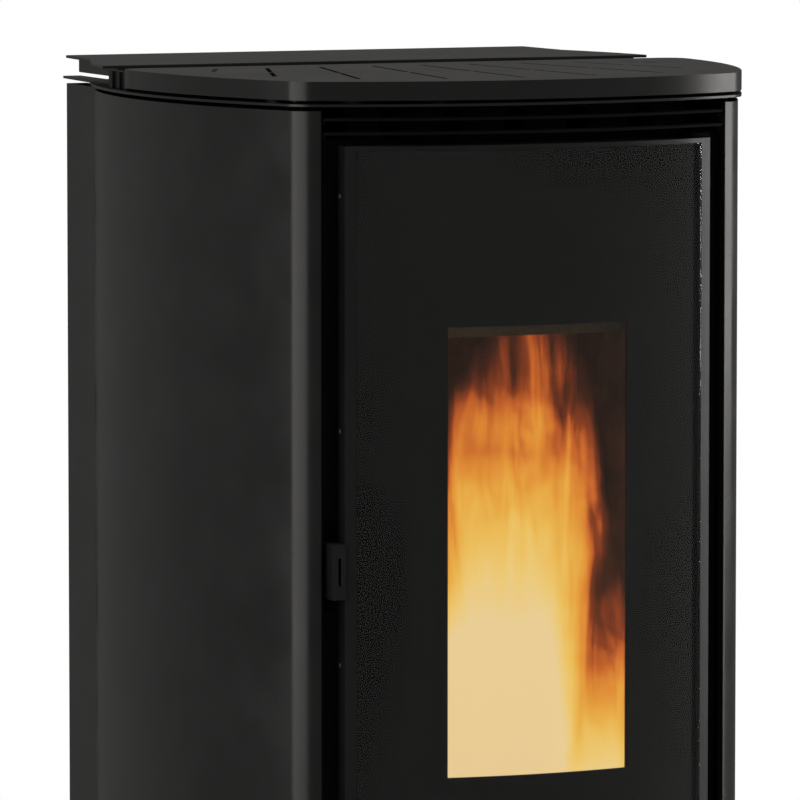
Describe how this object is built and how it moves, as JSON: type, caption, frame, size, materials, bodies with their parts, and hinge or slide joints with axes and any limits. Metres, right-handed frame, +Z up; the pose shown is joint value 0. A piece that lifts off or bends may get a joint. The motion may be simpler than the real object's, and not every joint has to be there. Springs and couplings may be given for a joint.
{
  "type": "pellet stove",
  "caption": "Free-standing pellet stove with bowed side panels, a tall curved glass door, a slotted top cover, a rear hopper under a hinged lid, and its feed, fans, flue and ash drawer inside.",
  "frame": {"origin": "on the floor under the middle of the stove's outline, feet screwed in", "axes": "+Z up, the glass door faces -Y, +X is to the right of someone facing the door"},
  "size_m": [0.516, 0.552, 1.06],
  "materials": {
    "black_steel": "black paint, fine satin texture",
    "black_trim": "matt black heat-proof paint",
    "cast_iron": "matt, sooted",
    "bare_steel": "plain steel",
    "galvanised": "zinc-coated sheet",
    "black_glass": "ceramic glass with a black printed surround",
    "vermiculite": "pressed vermiculite board, matt",
    "rope": "braided glass rope",
    "black_plastic": "fine-grained",
    "motor_can": "pressed steel can",
    "grey_plastic": "smooth",
    "board_green": "circuit board"
  },
  "bodies": {
    "stove": {"base_plate": "black_steel", "rear_panel": "black_steel", "side_panel_left": "black_steel", "side_panel_right": "black_steel", "rear_strip_left": "black_steel", "rear_strip_right": "black_steel", "top_plate": "black_steel", "top_cover": "black_steel", "grille_slat_1": "black_steel", "grille_slat_2": "black_steel", "lower_panel": "black_steel", "flue_outlet": "black_steel", "chassis_side_left": "black_trim", "chassis_side_right": "black_trim", "door_hinge_top": "black_trim", "door_hinge_bottom": "black_trim", "heat_exchanger": "black_trim", "front_frame": "black_trim", "firebox": "cast_iron", "pot_shelf": "cast_iron", "smoke_fan_housing": "cast_iron", "igniter": "bare_steel", "lid_hinge_left": "bare_steel", "lid_hinge_right": "bare_steel", "ash_box": "galvanised", "air_duct": "galvanised", "auger_tube": "galvanised", "pellet_chute": "galvanised", "hopper": "galvanised", "hopper_grate": "galvanised", "air_inlet_pipe": "galvanised", "room_fan_housing": "galvanised", "firebrick": "vermiculite", "baffle": "vermiculite", "gear_motor": "black_plastic", "control_console": "black_plastic", "room_fan_motor": "black_plastic", "mains_inlet": "black_plastic", "smoke_fan_motor": "motor_can", "control_board": "board_green"},
    "door": {"door_frame": "black_steel", "door_glass": "black_glass", "door_gasket": "rope"},
    "latch": {"door_latch": "black_steel"},
    "drawer": {"drawer_front": "black_steel", "ash_drawer": "galvanised"},
    "lid": {"hopper_lid": "black_steel"},
    "pot": {"burner_pot": "cast_iron"},
    "auger": {"auger_screw": "bare_steel"},
    "impeller": {"smoke_fan_impeller": "bare_steel"},
    "rotor": {"room_fan_rotor": "bare_steel"},
    "button_1": {"control_button_1": "grey_plastic"},
    "button_2": {"control_button_2": "grey_plastic"},
    "button_3": {"control_button_3": "grey_plastic"},
    "rocker": {"power_rocker": "black_plastic"},
    "reset": {"reset_button": "grey_plastic"},
    "leveller_front_left": {"foot_front_left": "bare_steel"},
    "leveller_front_right": {"foot_front_right": "bare_steel"},
    "leveller_rear_left": {"foot_rear_left": "bare_steel"},
    "leveller_rear_right": {"foot_rear_right": "bare_steel"}
  },
  "joints": [
    {"name": "door_hinge", "type": "hinge", "parent": "stove", "child": "door", "pos_m": [0.155, -0.237, 0.6773], "axis": [0, 0, 1], "range_deg": [0, 110]},
    {"name": "latch_pivot", "type": "hinge", "parent": "door", "child": "latch", "pos_m": [-0.164, -0.236, 0.6605], "axis": [1, 0, 0], "range_deg": [0, 25]},
    {"name": "drawer_slide", "type": "slide", "parent": "stove", "child": "drawer", "axis": [0, -1, 0], "range_m": [0, 0.3]},
    {"name": "lid_hinge", "type": "hinge", "parent": "stove", "child": "lid", "pos_m": [0, 0.26, 1.05], "axis": [-1, 0, 0], "range_deg": [0, 80]},
    {"name": "pot_lift", "type": "slide", "parent": "stove", "child": "pot", "axis": [0, 0, 1], "range_m": [0, 0.06]},
    {"name": "auger_spin", "type": "hinge", "parent": "stove", "child": "auger", "pos_m": [0, 0.128, 0.582], "axis": [0, -0.601, 0.7993], "continuous": true},
    {"name": "smoke_fan_spin", "type": "hinge", "parent": "stove", "child": "impeller", "pos_m": [0.095, 0.03, 0.41], "axis": [0, 1, 0], "continuous": true},
    {"name": "room_fan_spin", "type": "hinge", "parent": "stove", "child": "rotor", "pos_m": [-0.07, 0.09, 0.098], "axis": [1, 0, 0], "continuous": true},
    {"name": "button_1_press", "type": "slide", "parent": "stove", "child": "button_1", "axis": [0, 0, -1], "range_m": [0, 0.0012], "stiffness_N_per_m": 1000},
    {"name": "button_2_press", "type": "slide", "parent": "stove", "child": "button_2", "axis": [0, 0, -1], "range_m": [0, 0.0012], "stiffness_N_per_m": 1000},
    {"name": "button_3_press", "type": "slide", "parent": "stove", "child": "button_3", "axis": [0, 0, -1], "range_m": [0, 0.0012], "stiffness_N_per_m": 1000},
    {"name": "rocker_tilt", "type": "hinge", "parent": "stove", "child": "rocker", "pos_m": [0.152, 0.205, 0.107], "axis": [1, 0, 0], "range_deg": [0, 20]},
    {"name": "reset_press", "type": "slide", "parent": "stove", "child": "reset", "axis": [0, -1, 0], "range_m": [0, 0.002], "stiffness_N_per_m": 800},
    {"name": "leveller_front_left_screw", "type": "slide", "parent": "stove", "child": "leveller_front_left", "axis": [0, 0, -1], "range_m": [0, 0.012]},
    {"name": "leveller_front_right_screw", "type": "slide", "parent": "stove", "child": "leveller_front_right", "axis": [0, 0, -1], "range_m": [0, 0.012]},
    {"name": "leveller_rear_left_screw", "type": "slide", "parent": "stove", "child": "leveller_rear_left", "axis": [0, 0, -1], "range_m": [0, 0.012]},
    {"name": "leveller_rear_right_screw", "type": "slide", "parent": "stove", "child": "leveller_rear_right", "axis": [0, 0, -1], "range_m": [0, 0.012]}
  ]
}
